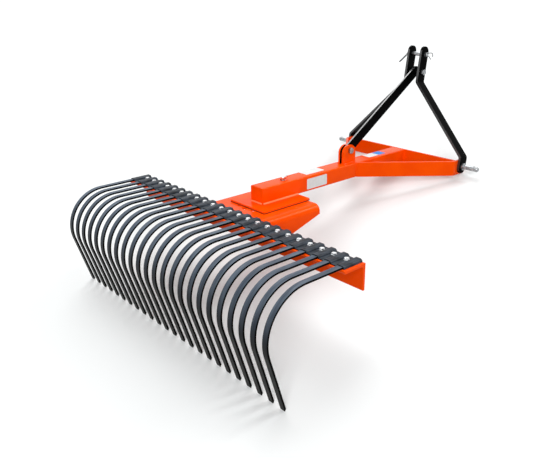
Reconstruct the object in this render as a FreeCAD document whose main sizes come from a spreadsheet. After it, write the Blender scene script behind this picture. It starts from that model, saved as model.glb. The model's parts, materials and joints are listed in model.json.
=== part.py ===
import FreeCAD, Part
import math
import os
import re
import Sketcher
from FreeCAD import Placement, Rotation, Vector

# Landscape rake for a small tractor's three-point hitch.
#
# Every piece is drawn in the machine's own level frame and then laid down by one rest
# placement.  In the level frame X runs to the right, Y forward to the tractor and Z up,
# with Z = 0 at the underside of the bracket's plate and Y = 0 on the row of clamp bolts.
# Unhitched, the machine lies nose down on the tine tips and on the front ends of its two
# wings, so the rest placement tilts the level frame forward about X until both touch.

SIZES = {
    # boom and its front frame
    "boom_wide": 73.0,
    "boom_high": 65.0,
    "boom_wall": 4.0,
    "boom_corner": 5.0,
    "boom_rear": 133.0,
    "boom_front": 1017.5,
    "boom_cap": 4.0,
    "bar_thick": 10.8,
    "wing_run": 337.5,
    "knee_back": 15.0,
    "tab_past": 62.5,
    "tab_half_width": 321.4,
    "wing_bend": 27.0,
    # lugs that hold the foot of the rear brace
    "lug_rear": 615.0,
    "lug_front": 693.5,
    "lug_height": 80.0,
    "lug_thick": 10.0,
    "lug_round": 32.5,
    "lug_bolt_y": 658.0,
    "lug_bolt_up": 56.0,
    # mast bars, measured along the bar from the lower hitch pin
    "hitch_past": 37.0,
    "hitch_up": 35.4,
    "mast_foot": 31.0,
    "mast_lean": 8.2,
    "mast_width": 52.0,
    "mast_gap": 58.0,
    "mast_knee_low": 41.0,
    "mast_knee_high": 338.4,
    "brace_past_knee": 46.2,
    "pin_past_brace": 80.1,
    "top_past_pin": 8.7,
    "mast_bend": 21.5,
    # rear brace and its bolts
    "brace_width": 46.0,
    "brace_thick": 8.0,
    "brace_side_play": 1.0,
    "brace_past_bolt": 24.5,
    "brace_bolt": 16.0,
    "brace_head": 24.0,
    "brace_head_high": 10.0,
    "brace_nut_high": 13.0,
    "bolt_stub": 4.0,
    "bolt_play": 0.5,
    "spacer_size": 32.0,
    # hitch pins, Category 1
    "hitch_pin": 22.2,
    "hitch_collar": 32.5,
    "hitch_collar_long": 9.3,
    "hitch_pin_long": 70.0,
    "hitch_pin_taper": 5.0,
    "linch_hole": 11.5,
    "linch_past": 52.5,
    "hitch_nut": 33.0,
    "hitch_nut_high": 18.0,
    "link_pin": 19.0,
    "link_pin_past": 14.0,
    "pin_play": 0.3,
    # swivel between boom and rake head
    "pivot_y": 171.0,
    "swivel_half_width": 105.5,
    "swivel_rear": 81.0,
    "swivel_front": 325.0,
    "swivel_thick": 8.7,
    "swivel_corner": 5.5,
    "swivel_gap": 0.3,
    "kingpin": 32.0,
    "kingpin_play": 0.1,
    "king_washer": 64.0,
    "king_washer_thick": 6.0,
    "king_nut": 50.0,
    "king_nut_high": 24.0,
    "lock_y": 273.0,
    "lock_pin": 16.0,
    "lock_collar": 26.0,
    "lock_collar_high": 4.0,
    "lock_neck_high": 8.0,
    "lock_tip_back": 1.0,
    "index_step": 25.0,
    "index_hole": 19.5,
    # bent bracket under the swivel plate
    "bracket_plate": 6.5,
    "bracket_half_width": 170.0,
    "bracket_bend": 27.0,
    "bracket_front": 316.0,
    "bracket_nose": 32.5,
    "bracket_slope_end": 126.5,
    # angle bar, its top face a little above the underside of the bracket's plate
    "angle_up": 6.0,
    "angle_leg": 96.2,
    "angle_thick": 10.3,
    "angle_front": 26.5,
    "angle_root": 9.7,
    "angle_toe": 4.3,
    # tines, measured from the top face of the angle bar
    "tine_pitch": 55.0,
    "tine_width": 21.7,
    "tine_thick": 7.4,
    "tine_head_in": 8.7,
    "tine_bend": 158.0,
    "tine_bend_y": -216.5,
    "tine_lean": 16.5,
    "tine_tip": -406.5,
    "tine_bevel": 6.5,
    # clamp strips
    "clamp_thick": 3.2,
    "clamp_front_in": 2.2,
    "clamp_rear_in": 7.5,
    "clamp_side_play": 0.5,
    "clamp_slope": 2.2,
    "clamp_end_gap": 3.2,
    "clamp_crest_round": 9.0,
}

TINE_COUNT = 24
STRIP_COUNT = 4
TINES_PER_STRIP = TINE_COUNT // STRIP_COUNT

doc = FreeCAD.newDocument("LandscapeRake")
sheet = doc.addObject("Spreadsheet::Sheet", "Sizes")
for row, (alias, value) in enumerate(SIZES.items(), start=1):
    sheet.set("A%d" % row, alias)
    sheet.set("B%d" % row, str(value))
    sheet.setAlias("B%d" % row, alias)
doc.recompute()

pieces = {}


# ---------------------------------------------------------------- helpers

def size(text):
    """The value of an expression in the sheet's names."""
    return float(sheet.evalExpression(str(text)))


def bound(text):
    """The same expression written as a binding to the sheet."""
    def name(match):
        word = match.group(0)
        return "Sizes." + word if word in SIZES else word
    return re.sub(r"[a-z_]+", name, str(text))


def start_piece(name):
    """A new body whose label is the name of its file."""
    body = doc.addObject("PartDesign::Body", name)
    body.Label = name
    pieces[name] = body
    return body


def plane_of(body, role):
    return [item for item in body.Origin.OriginFeatures if item.Role == role][0]


def new_sketch(body, role, lifted=None):
    """A sketch on one of the body's own planes, or lifted off it by a sheet expression."""
    sketch = body.newObject("Sketcher::SketchObject", body.Name + "_sketch")
    sketch.AttachmentSupport = [(plane_of(body, role), "")]
    sketch.MapMode = "FlatFace"
    if lifted:
        sketch.setExpression("AttachmentOffset.Base.z", bound(lifted))
    return sketch


def pin_point(sketch, edge, end, point):
    """Hold one end of a sketch edge at two distances from the origin, bound to the sheet."""
    for kind, text in (("DistanceX", point[0]), ("DistanceY", point[1])):
        rule = Sketcher.Constraint(kind, -1, 1, edge, end, size(text))
        index = sketch.addConstraint(rule)
        sketch.setExpression("Constraints[%d]" % index, bound(text))


def draw_outline(sketch, points):
    """A closed outline through points given as pairs of sheet expressions."""
    corners = [Vector(size(u), size(v), 0) for u, v in points]
    first = sketch.GeometryCount
    count = len(corners)
    for index in range(count):
        line = Part.LineSegment(corners[index], corners[(index + 1) % count])
        sketch.addGeometry(line, False)
    for index in range(count):
        after = first + (index + 1) % count
        sketch.addConstraint(Sketcher.Constraint("Coincident", first + index, 2, after, 1))
    for index in range(count):
        pin_point(sketch, first + index, 1, points[index])


def draw_circle(sketch, centre, radius):
    place = Vector(size(centre[0]), size(centre[1]), 0)
    circle = Part.Circle(place, Vector(0, 0, 1), size(radius))
    edge = sketch.addGeometry(circle, False)
    pin_point(sketch, edge, 3, centre)
    index = sketch.addConstraint(Sketcher.Constraint("Radius", edge, size(radius)))
    sketch.setExpression("Constraints[%d]" % index, bound(radius))


def draw_hexagon(sketch, across):
    """A hexagon about the origin with two flats facing the sketch's first axis."""
    half = "(%s) / 2" % across
    side = "(%s) / 2 / sqrt(3)" % across
    draw_outline(sketch, [
        (half, "-" + side), (half, side), ("0", "2 * " + side),
        ("-" + half, side), ("-" + half, "-" + side), ("0", "-2 * " + side),
    ])


def pad(body, sketch, length, centred=False, backwards=False):
    feature = body.newObject("PartDesign::Pad", body.Name + "_pad")
    feature.Profile = sketch
    feature.setExpression("Length", bound(length))
    feature.Midplane = centred
    feature.Reversed = backwards
    body.Tip = feature
    sketch.Visibility = False
    doc.recompute()
    return feature


def cut_through(body, sketch):
    """Cut a sketch right through the body, both ways from its plane."""
    before = body.Tip.Shape.Volume
    feature = body.newObject("PartDesign::Pocket", body.Name + "_cut")
    feature.Profile = sketch
    feature.Length = 4000.0
    feature.Midplane = True
    body.Tip = feature
    doc.recompute()
    if feature.Shape.Volume >= before:
        raise RuntimeError(body.Label + ": a cut removed nothing")
    return feature


def round_edges(body, radius, wanted):
    """Fillet every edge of the body for which wanted(middle, direction) is true."""
    base = body.Tip
    names = []
    for index, edge in enumerate(base.Shape.Edges, start=1):
        if not isinstance(edge.Curve, Part.Line):
            continue
        ends = [vertex.Point for vertex in edge.Vertexes]
        along = (ends[1] - ends[0]).normalize()
        if wanted((ends[0] + ends[1]) * 0.5, along):
            names.append("Edge%d" % index)
    if not names:
        raise RuntimeError(body.Label + ": no edge to round")
    feature = body.newObject("PartDesign::Fillet", body.Name + "_round")
    feature.Base = (base, names)
    feature.setExpression("Radius", bound(radius))
    body.Tip = feature
    doc.recompute()
    return feature


def prism(name, role, points, length, centred=False, backwards=False):
    body = start_piece(name)
    sketch = new_sketch(body, role)
    draw_outline(sketch, points)
    pad(body, sketch, length, centred, backwards)
    return body


def bore(body, role, centres, radius):
    sketch = new_sketch(body, role)
    for centre in centres:
        draw_circle(sketch, centre, radius)
    cut_through(body, sketch)


def turned(name, role, axis, points):
    """A turned piece: an outline revolved about one axis of its sketch."""
    body = start_piece(name)
    sketch = new_sketch(body, role)
    draw_outline(sketch, points)
    feature = body.newObject("PartDesign::Revolution", name + "_turn")
    feature.Profile = sketch
    feature.ReferenceAxis = (sketch, [axis])
    feature.Angle = 360.0
    body.Tip = feature
    doc.recompute()
    return body


def add_disc(body, radius, length, lifted=None):
    sketch = new_sketch(body, "YZ_Plane", lifted)
    draw_circle(sketch, ("0", "0"), radius)
    pad(body, sketch, length)


def add_nut(body, role, across, high, lifted=None, backwards=False):
    sketch = new_sketch(body, role, lifted)
    draw_hexagon(sketch, across)
    pad(body, sketch, high, backwards=backwards)


def cross_bolt(name, grip):
    """A bolt along X with its head before X = 0 and its nut after the gripped stack."""
    body = start_piece(name)
    add_nut(body, "YZ_Plane", "brace_head", "brace_head_high", backwards=True)
    add_disc(body, "brace_bolt / 2", "%s + brace_nut_high + bolt_stub" % grip)
    add_nut(body, "YZ_Plane", "brace_head", "brace_nut_high", lifted=grip)
    return body


# ---------------------------------------------------------------- levels and directions

swivel_under = size("bracket_plate + swivel_gap")
frame_under = swivel_under + size("swivel_thick")
frame_top = frame_under + size("boom_high")
hitch_z = frame_under + size("hitch_up")
wing_root = "(boom_front - wing_run)"
wing_knee = "(boom_front - knee_back)"
wing_front = "(boom_front + tab_past)"
hitch_y = size("boom_front + hitch_past")
lean = math.radians(size("mast_lean"))


def mast_point(along):
    """Level-frame Y and Z of a point on the middle line of the mast bars."""
    return hitch_y + along * math.sin(lean), hitch_z + along * math.cos(lean)


# The outer face of a tine's straight leg, from the end of the bend to the tip.
past = math.radians(size("tine_lean"))
bend_centre_z = size("tine_thick - tine_bend")
leg_start_y = size("tine_bend_y") - size("tine_bend") * math.cos(past)
leg_start_z = bend_centre_z - size("tine_bend") * math.sin(past)
leg_length = (leg_start_z - size("tine_tip")) / math.cos(past)
tip_y = leg_start_y + leg_length * math.sin(past)
tip_z = size("tine_tip")
angle_top = size("angle_up")

# Tine tips and wing fronts stand on one floor: that line sets the tilt.
tilt = math.atan2(frame_under - angle_top - tip_z, size(wing_front) - tip_y)
local = {}


def put(name, x=0.0, y=0.0, z=0.0, axis=Vector(1, 0, 0), turn=0.0):
    """Where a piece belongs in the level frame; the rest placement is added at the end."""
    local[name] = Placement(Vector(x, y, z), Rotation(axis, turn))


# ---------------------------------------------------------------- boom and front frame

half = "boom_wide / 2"
inner = "boom_wide / 2 - boom_wall"


def upright(edge, low, high):
    return [("-(%s)" % edge, low), (edge, low), (edge, high), ("-(%s)" % edge, high)]


def along_y(middle, along):
    return abs(along.y) > 0.99


boom = start_piece("boom")
tube = new_sketch(boom, "XZ_Plane")
draw_outline(tube, upright(half, "0", "boom_high"))
pad(boom, tube, "boom_front - boom_rear - boom_cap", backwards=True)
round_edges(boom, "boom_corner", along_y)
hollow = new_sketch(boom, "XZ_Plane")
draw_outline(hollow, upright(inner, "boom_wall", "boom_high - boom_wall"))
cut_through(boom, hollow)
round_edges(boom, "boom_corner - boom_wall", lambda middle, along:
            along_y(middle, along) and abs(abs(middle.x) - size(inner)) < 0.01)
bore(boom, "XY_Plane", [("0", "lock_y - boom_rear - boom_cap")], "lock_pin / 2 + bolt_play")
put("boom", y=size("boom_rear + boom_cap"), z=frame_under)

prism("boom_end_cap", "XZ_Plane", upright(half, "0", "boom_high"), "boom_cap", backwards=True)
round_edges(pieces["boom_end_cap"], "boom_corner", along_y)
put("boom_end_cap", y=size("boom_rear"), z=frame_under)

cross = "tab_half_width - bar_thick"
prism("cross_plate", "XY_Plane", [
    ("-(%s)" % cross, "boom_front"), (cross, "boom_front"),
    (cross, "boom_front + bar_thick"), ("-(%s)" % cross, "boom_front + bar_thick"),
], "boom_high")
put("cross_plate", z=frame_under)

# A wing is a flat bar on edge, bent near its front so that its tab lies fore and aft.
# Its inner face is its outer face moved square to itself by the bar's thickness.
reach = size("tab_half_width - boom_wide / 2")
depth = size("wing_run - knee_back")
slant = math.hypot(reach, depth)
root_step = size("bar_thick") * slant / reach
knee_step = size("bar_thick") * (slant - depth) / reach
for side, sign in (("left", -1), ("right", 1)):
    name = "wing_" + side
    corners = [
        ("%d * boom_wide / 2" % sign, wing_root),
        ("%d * tab_half_width" % sign, wing_knee),
        ("%d * tab_half_width" % sign, wing_front),
        ("%d * (tab_half_width - bar_thick)" % sign, wing_front),
        ("%d * (tab_half_width - bar_thick)" % sign, "%s + %.6f" % (wing_knee, knee_step)),
        ("%d * boom_wide / 2" % sign, "%s + %.6f" % (wing_root, root_step)),
    ]
    wing = prism(name, "XY_Plane", corners, "boom_high")
    outer_edge = size("tab_half_width") - 0.01
    round_edges(wing, "wing_bend", lambda middle, along:
                abs(along.z) > 0.99 and abs(middle.x) > outer_edge
                and abs(middle.y - size(wing_knee)) < 0.01)
    round_edges(wing, "wing_bend - bar_thick", lambda middle, along:
                abs(along.z) > 0.99 and abs(abs(middle.x) - size(cross)) < 0.01
                and middle.y < size(wing_front) - 1)
    bore(wing, "YZ_Plane", [("boom_front + hitch_past", "hitch_up")], "hitch_pin / 2 + pin_play")
    put(name, z=frame_under)

# ---------------------------------------------------------------- lugs and rear brace

lug_inside = "brace_thick / 2 + brace_side_play"
lug_outside = lug_inside + " + lug_thick"
for side, low, high in (("left", "-(%s)" % lug_outside, -1), ("right", lug_inside, 1)):
    name = "lug_" + side
    lug = prism(name, "YZ_Plane", [
        ("lug_rear", "0"), ("lug_front", "0"), ("lug_front", "lug_height"), ("lug_rear", "lug_height"),
    ], "lug_thick")
    round_edges(lug, "lug_round", lambda middle, along:
                abs(along.x) > 0.99 and middle.z > size("lug_height") - 0.01)
    bore(lug, "YZ_Plane", [("lug_bolt_y", "lug_bolt_up")], "brace_bolt / 2 + bolt_play")
    put(name, x=size(low), z=frame_top)

foot_y = size("lug_bolt_y")
foot_z = frame_top + size("lug_bolt_up")
brace_at = "mast_knee_high + brace_past_knee"
link_at = brace_at + " + pin_past_brace"
bar_top = link_at + " + top_past_pin + mast_width / 2"
head_y, head_z = mast_point(size(brace_at))
brace_span = math.hypot(head_y - foot_y, head_z - foot_z)
brace_rise = math.degrees(math.atan2(head_z - foot_z, head_y - foot_y))
brace = prism("rear_brace", "YZ_Plane", [
    ("-brace_past_bolt", "-brace_width / 2"), ("%.6f + brace_past_bolt" % brace_span, "-brace_width / 2"),
    ("%.6f + brace_past_bolt" % brace_span, "brace_width / 2"), ("-brace_past_bolt", "brace_width / 2"),
], "brace_thick", centred=True)
round_edges(brace, "brace_width / 2 - 1", lambda middle, along: abs(along.x) > 0.99)
bore(brace, "YZ_Plane", [("0", "0"), ("%.6f" % brace_span, "0")], "brace_bolt / 2 + bolt_play")
put("rear_brace", y=foot_y, z=foot_z, turn=brace_rise)

cross_bolt("brace_lower_bolt", "2 * (%s)" % lug_outside)
put("brace_lower_bolt", x=size(lug_outside), y=foot_y, z=foot_z, axis=Vector(0, 0, 1), turn=180)

# The upper bolt carries a spacer on each side of the brace, between the two mast bars.
mast_outside = "(mast_gap / 2 + bar_thick)"
mast_face = size(mast_outside)
spacer_long = "(mast_gap - brace_thick) / 2"
upper_bolt = cross_bolt("brace_upper_bolt", "2 * %s" % mast_outside)
add_disc(upper_bolt, "spacer_size / 2", spacer_long, lifted="bar_thick")
add_disc(upper_bolt, "spacer_size / 2", spacer_long, lifted="bar_thick + (mast_gap + brace_thick) / 2")
put("brace_upper_bolt", x=-mast_face, y=head_y, z=head_z, turn=-size("mast_lean"))

# ---------------------------------------------------------------- mast bars and hitch pins

# Each mast bar is bent twice in its own leaning plane: upright beside the tab, slanting
# inwards, then upright again beside the brace.  Both faces are drawn with equal offsets.
run_in = size("tab_half_width - mast_gap / 2 - bar_thick")
rise = size("mast_knee_high - mast_knee_low")
length = math.hypot(run_in, rise)
knee_shift = size("bar_thick") * (length - rise) / run_in
for side, sign in (("left", -1), ("right", 1)):
    name = "mast_bar_" + side
    foot_in = "%d * tab_half_width" % sign
    foot_out = "%d * (tab_half_width + bar_thick)" % sign
    head_in = "%d * mast_gap / 2" % sign
    head_out = "%d * (mast_gap / 2 + bar_thick)" % sign
    bar = prism(name, "XZ_Plane", [
        (foot_in, "-mast_foot"),
        (foot_out, "-mast_foot"),
        (foot_out, "mast_knee_low + %.6f" % (knee_shift / 2)),
        (head_out, "mast_knee_high + %.6f" % (knee_shift / 2)),
        (head_out, bar_top),
        (head_in, bar_top),
        (head_in, "mast_knee_high - %.6f" % (knee_shift / 2)),
        (foot_in, "mast_knee_low - %.6f" % (knee_shift / 2)),
    ], "mast_width", centred=True)
    low, high = size("mast_knee_low"), size("mast_knee_high")
    outside, inside = size("tab_half_width + bar_thick"), size("mast_gap / 2")

    def is_outer(middle, along):
        near_low = abs(abs(middle.x) - outside) < 0.01 and abs(middle.z - low) < knee_shift
        near_high = abs(abs(middle.x) - inside) < 0.01 and abs(middle.z - high) < knee_shift
        return abs(along.y) > 0.99 and (near_low or near_high)

    def is_inner(middle, along):
        near_low = abs(abs(middle.x) - size("tab_half_width")) < 0.01 and abs(middle.z - low) < knee_shift
        near_high = abs(abs(middle.x) - mast_face) < 0.01 and abs(middle.z - high) < knee_shift
        return abs(along.y) > 0.99 and (near_low or near_high)

    round_edges(bar, "mast_bend", is_outer)
    round_edges(bar, "mast_bend - bar_thick", is_inner)
    round_edges(bar, "mast_width / 2 - 0.5", lambda middle, along: abs(along.x) > 0.99)
    bore(bar, "YZ_Plane", [("0", "0")], "hitch_pin / 2 + pin_play")
    bore(bar, "YZ_Plane", [("0", brace_at)], "brace_bolt / 2 + bolt_play")
    bore(bar, "YZ_Plane", [("0", link_at)], "link_pin / 2 + pin_play")
    put(name, y=hitch_y, z=hitch_z, turn=-size("mast_lean"))

# A lower pin: nut and stud through tab and mast bar, collar on the bar, pin out to its end.
shoulder = "(tab_half_width + bar_thick + hitch_collar_long)"
pin_end = "(%s + hitch_pin_long)" % shoulder
stud_end = "%s - hitch_nut_high - bolt_stub" % cross
for side, sign in (("left", -1), ("right", 1)):
    name = "lower_pin_" + side
    radius = "hitch_pin / 2"
    stations = [
        (stud_end, "0"), (stud_end, radius),
        ("tab_half_width + bar_thick", radius), ("tab_half_width + bar_thick", "hitch_collar / 2"),
        (shoulder, "hitch_collar / 2"), (shoulder, radius),
        ("%s - hitch_pin_taper" % pin_end, radius),
        (pin_end, "hitch_pin / 2 - hitch_pin_taper / 2"), (pin_end, "0"),
    ]
    pin = turned(name, "XY_Plane", "H_Axis", [("%d * (%s)" % (sign, u), v) for u, v in stations])
    add_nut(pin, "YZ_Plane", "hitch_nut", "hitch_nut_high", "%d * (%s)" % (sign, cross), backwards=sign > 0)
    bore(pin, "XY_Plane", [("%d * (%s + linch_past)" % (sign, shoulder), "0")], "linch_hole / 2")
    put(name, y=hitch_y, z=hitch_z)

link_y, link_z = mast_point(size(link_at))
link_half = "(%s + link_pin_past)" % mast_outside
link = start_piece("top_link_pin")
add_disc(link, "link_pin / 2", "2 * " + link_half)
put("top_link_pin", x=-size(link_half), y=link_y, z=link_z)

# ---------------------------------------------------------------- swivel

wide = "swivel_half_width"
plate = prism("swivel_plate", "XY_Plane", [
    ("-" + wide, "swivel_rear"), (wide, "swivel_rear"), (wide, "swivel_front"), ("-" + wide, "swivel_front"),
], "swivel_thick")
round_edges(plate, "swivel_corner", lambda middle, along: abs(along.z) > 0.99)
bore(plate, "XY_Plane", [("0", "lock_y")], "lock_pin / 2 + bolt_play")
put("swivel_plate", z=swivel_under)

# The kingpin hangs from the swivel plate, through the bracket, to its washer and nut.
washer_top = "-bracket_plate - 2 * swivel_gap"
washer_low = washer_top + " - king_washer_thick"
kingpin_end = washer_low + " - king_nut_high - bolt_stub"
kingpin = turned("kingpin", "XZ_Plane", "V_Axis", [
    ("0", "0"), ("kingpin / 2", "0"),
    ("kingpin / 2", washer_top), ("king_washer / 2", washer_top),
    ("king_washer / 2", washer_low), ("kingpin / 2", washer_low),
    ("kingpin / 2", kingpin_end), ("0", kingpin_end),
])
add_nut(kingpin, "XY_Plane", "king_nut", "king_nut_high", washer_low, backwards=True)
put("kingpin", y=size("pivot_y"), z=swivel_under)

# The lock pin hangs by its collar on top of the boom and ends inside the swivel plate.
turned("lock_pin", "XZ_Plane", "V_Axis", [
    ("0", "-boom_high - swivel_thick + lock_tip_back"),
    ("lock_pin / 2", "-boom_high - swivel_thick + lock_tip_back"),
    ("lock_pin / 2", "0"), ("lock_collar / 2", "0"), ("lock_collar / 2", "lock_collar_high"),
    ("lock_pin / 2", "lock_collar_high"), ("lock_pin / 2", "lock_collar_high + lock_neck_high"),
    ("0", "lock_collar_high + lock_neck_high"),
])
put("lock_pin", y=size("lock_y"), z=frame_top)

# ---------------------------------------------------------------- rake head

# The bracket is one plate with both sides bent down, welded to the front of the angle
# bar; the sides taper towards the nose.
deep = "(angle_up - angle_leg)"
wide = "bracket_half_width"
thin = "bracket_half_width - bracket_plate"
bracket = prism("pivot_bracket", "XZ_Plane", [
    ("-" + wide, deep), ("-(%s)" % thin, deep), ("-(%s)" % thin, "0"), (thin, "0"),
    (thin, deep), (wide, deep), (wide, "bracket_plate"), ("-" + wide, "bracket_plate"),
], "bracket_front - angle_front", backwards=True)
round_edges(bracket, "bracket_bend", lambda middle, along:
            abs(along.y) > 0.99 and abs(middle.x) > size(wide) - 0.01 and middle.z > 0)
round_edges(bracket, "bracket_bend - bracket_plate", lambda middle, along:
            abs(along.y) > 0.99 and abs(abs(middle.x) - size(thin)) < 0.01 and abs(middle.z) < 0.01)
nose = new_sketch(bracket, "YZ_Plane")
draw_outline(nose, [
    ("bracket_slope_end - angle_front", deep), ("bracket_front - angle_front", "-bracket_nose"),
    ("bracket_front", "-bracket_nose"), ("bracket_front", "2 * " + deep),
    ("bracket_slope_end - angle_front", "2 * " + deep),
])
cut_through(bracket, nose)
bore(bracket, "XY_Plane", [("0", "pivot_y - angle_front")], "kingpin / 2 + kingpin_play")
ring = "(lock_y - pivot_y)"
turns = ["%d * index_step" % step for step in (-2, -1, 0, 1, 2)]
front = [("%s * sin(%s)" % (ring, turn), "pivot_y - angle_front + %s * cos(%s)" % (ring, turn))
         for turn in turns]
rear = [("%s * sin(%s)" % (ring, turn), "pivot_y - angle_front - %s * cos(%s)" % (ring, turn))
        for turn in turns]
bore(bracket, "XY_Plane", front + rear, "index_hole / 2")
put("pivot_bracket", y=size("angle_front"))

bar = prism("angle_bar", "YZ_Plane", [
    ("angle_front", "0"), ("angle_front", "-angle_leg"), ("angle_front - angle_thick", "-angle_leg"),
    ("angle_front - angle_thick", "-angle_thick"), ("angle_front - angle_leg", "-angle_thick"),
    ("angle_front - angle_leg", "0"),
], "%d * tine_pitch" % TINE_COUNT, centred=True)
round_edges(bar, "angle_root", lambda middle, along:
            abs(along.x) > 0.99 and abs(middle.y - size("angle_front - angle_thick")) < 0.01
            and abs(middle.z + size("angle_thick")) < 0.01)
round_edges(bar, "angle_toe", lambda middle, along:
            abs(along.x) > 0.99
            and (abs(middle.z + size("angle_leg")) < 0.01 and middle.y < size("angle_front") - 1
                 or abs(middle.y - size("angle_front - angle_leg")) < 0.01 and middle.z < -1))
put("angle_bar", z=angle_top)

# One tine: the side view with its two sharp corners, padded to the bar's width; the
# bend is then rounded to concentric radii.  The tip is cut on the slant.
tine_head = "angle_front - tine_head_in"
corner = size("tine_bend") * math.tan((math.pi / 2 + past) / 2)
corner_y = size("tine_bend_y") - corner
inner_corner_y = size("tine_bend_y") - size("tine_bend - tine_thick") * corner / size("tine_bend")
inner_tip_y = tip_y + size("tine_thick") * math.cos(past) - size("tine_bevel") * math.sin(past)
inner_tip_z = tip_z + size("tine_thick") * math.sin(past) + size("tine_bevel") * math.cos(past)


def fixed(number):
    return "%.6f" % number


def tine_place(number):
    return (number - (TINE_COUNT + 1) / 2) * size("tine_pitch")


for number in range(1, TINE_COUNT + 1):
    name = "tine_%02d" % number
    tine = prism(name, "YZ_Plane", [
        (tine_head, "tine_thick"), (fixed(corner_y), "tine_thick"), (fixed(tip_y), "tine_tip"),
        (fixed(inner_tip_y), fixed(inner_tip_z)), (fixed(inner_corner_y), "0"), (tine_head, "0"),
    ], "tine_width", centred=True)
    round_edges(tine, "tine_bend", lambda middle, along:
                abs(along.x) > 0.99 and abs(middle.y - corner_y) < 0.01)
    round_edges(tine, "tine_bend - tine_thick", lambda middle, along:
                abs(along.x) > 0.99 and abs(middle.y - inner_corner_y) < 0.01)
    put(name, x=tine_place(number), z=angle_top)

# A clamp strip seats on the angle bar between the tines and steps up over each of them.
# Crest and foot are the inside corners; the outer ones follow from the sheet thickness.
crest = size("tine_width / 2 + clamp_side_play")
foot = crest + size("clamp_slope")
steep = math.atan2(size("tine_thick"), size("clamp_slope"))
spread = size("clamp_thick") * math.tan(steep / 2)
under = size("tine_thick")
over = size("tine_thick + clamp_thick")
sheet_top = size("clamp_thick")
end_foot = foot + size("clamp_thick") / math.sin(steep)
flange = size("tine_pitch - clamp_end_gap") - end_foot
clamp_rear = "(angle_front - angle_leg + clamp_rear_in)"
for number in range(1, STRIP_COUNT + 1):
    name = "clamp_strip_%d" % number
    places = [tine_place(TINES_PER_STRIP * (number - 1) + step) for step in range(1, TINES_PER_STRIP + 1)]
    upper, lower = [], []
    for place in places:
        upper += [(place - foot - spread, sheet_top), (place - crest - spread, over),
                  (place + crest + spread, over), (place + foot + spread, sheet_top)]
        lower += [(place - foot, 0), (place - crest, under), (place + crest, under), (place + foot, 0)]
    if number == 1:
        upper[0] = (places[0] - end_foot, 0)
    else:
        start = places[0] - flange
        upper.insert(0, (start, sheet_top))
        lower.insert(0, (start, 0))
    upper[-1] = (places[-1] + end_foot, 0)
    loop = [(fixed(u), fixed(v)) for u, v in upper + lower[::-1]]
    strip = prism(name, "XZ_Plane", loop, "angle_front - clamp_front_in - " + clamp_rear, backwards=True)
    round_edges(strip, "clamp_crest_round", lambda middle, along:
                along_y(middle, along) and abs(middle.z - over) < 0.01)
    put(name, y=size(clamp_rear), z=angle_top)

# ---------------------------------------------------------------- rest placement and export

laid = Placement(Vector(0, 0, 0), Rotation(Vector(1, 0, 0), -math.degrees(tilt)))
for name, body in pieces.items():
    body.Placement = laid.multiply(local[name])
doc.recompute()
whole = Part.makeCompound([body.Shape for body in pieces.values()])
room = whole.optimalBoundingBox(False, False)
shift = Vector(0, -(room.YMin + room.YMax) / 2, -room.ZMin)
rest = Placement(shift, laid.Rotation)
for name, body in pieces.items():
    body.Placement = rest.multiply(local[name])
doc.recompute()

for item in doc.Objects:
    if "Invalid" in item.State or "Error" in item.State:
        raise RuntimeError("failed object: " + item.Name)
for name, body in pieces.items():
    if body.Shape.isNull() or not body.Shape.isValid() or not body.Shape.Solids:
        raise RuntimeError("bad shape: " + name)

os.makedirs("parts", exist_ok=True)
for name, body in pieces.items():
    body.Shape.exportStep("parts/%s.step" % name)

print("tilt %.3f degrees, origin shift y %.3f z %.3f" % (math.degrees(tilt), shift.y, shift.z))
for label, point in (("pivot", (0, size("pivot_y"), swivel_under)),
                     ("lower pin", (size(shoulder), hitch_y, hitch_z)),
                     ("top link pin", (0, link_y, link_z))):
    print(label, rest.multVec(Vector(*point)))
print("pivot axis", rest.Rotation.multVec(Vector(0, 0, 1)))
print(len(pieces), "pieces", "mass volume %.0f mm3" % sum(body.Shape.Volume for body in pieces.values()))
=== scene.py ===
# %% [markdown]
# # A landscape rake for a small tractor
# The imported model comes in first. It holds every solid at its true size and in its true
# place, so nothing here moves or resizes the machine, and new pieces find their places on
# it. This lesson adds finishes, the small hardware, the weld beads, soft light and a
# camera.

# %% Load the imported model
import bpy
import bmesh
import json
import math
import random
from mathutils import Matrix, Vector

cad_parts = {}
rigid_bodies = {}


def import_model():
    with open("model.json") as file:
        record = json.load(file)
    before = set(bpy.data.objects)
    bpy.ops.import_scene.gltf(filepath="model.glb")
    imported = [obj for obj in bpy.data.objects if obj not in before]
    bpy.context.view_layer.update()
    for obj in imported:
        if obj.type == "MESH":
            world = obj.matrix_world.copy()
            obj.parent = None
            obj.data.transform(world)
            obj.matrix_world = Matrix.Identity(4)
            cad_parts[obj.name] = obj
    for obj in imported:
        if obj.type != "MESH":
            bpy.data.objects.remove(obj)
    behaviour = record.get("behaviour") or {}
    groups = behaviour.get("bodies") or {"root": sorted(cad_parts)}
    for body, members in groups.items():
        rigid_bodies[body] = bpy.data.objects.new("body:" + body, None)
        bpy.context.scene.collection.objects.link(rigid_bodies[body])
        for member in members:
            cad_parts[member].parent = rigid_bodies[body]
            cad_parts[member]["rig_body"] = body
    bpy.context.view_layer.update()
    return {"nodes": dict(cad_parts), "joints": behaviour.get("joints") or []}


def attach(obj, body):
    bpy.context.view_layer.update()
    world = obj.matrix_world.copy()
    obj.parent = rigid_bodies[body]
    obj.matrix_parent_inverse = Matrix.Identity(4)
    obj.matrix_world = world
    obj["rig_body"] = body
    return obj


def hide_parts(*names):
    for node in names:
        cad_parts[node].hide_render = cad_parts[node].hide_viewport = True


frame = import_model()

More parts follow.
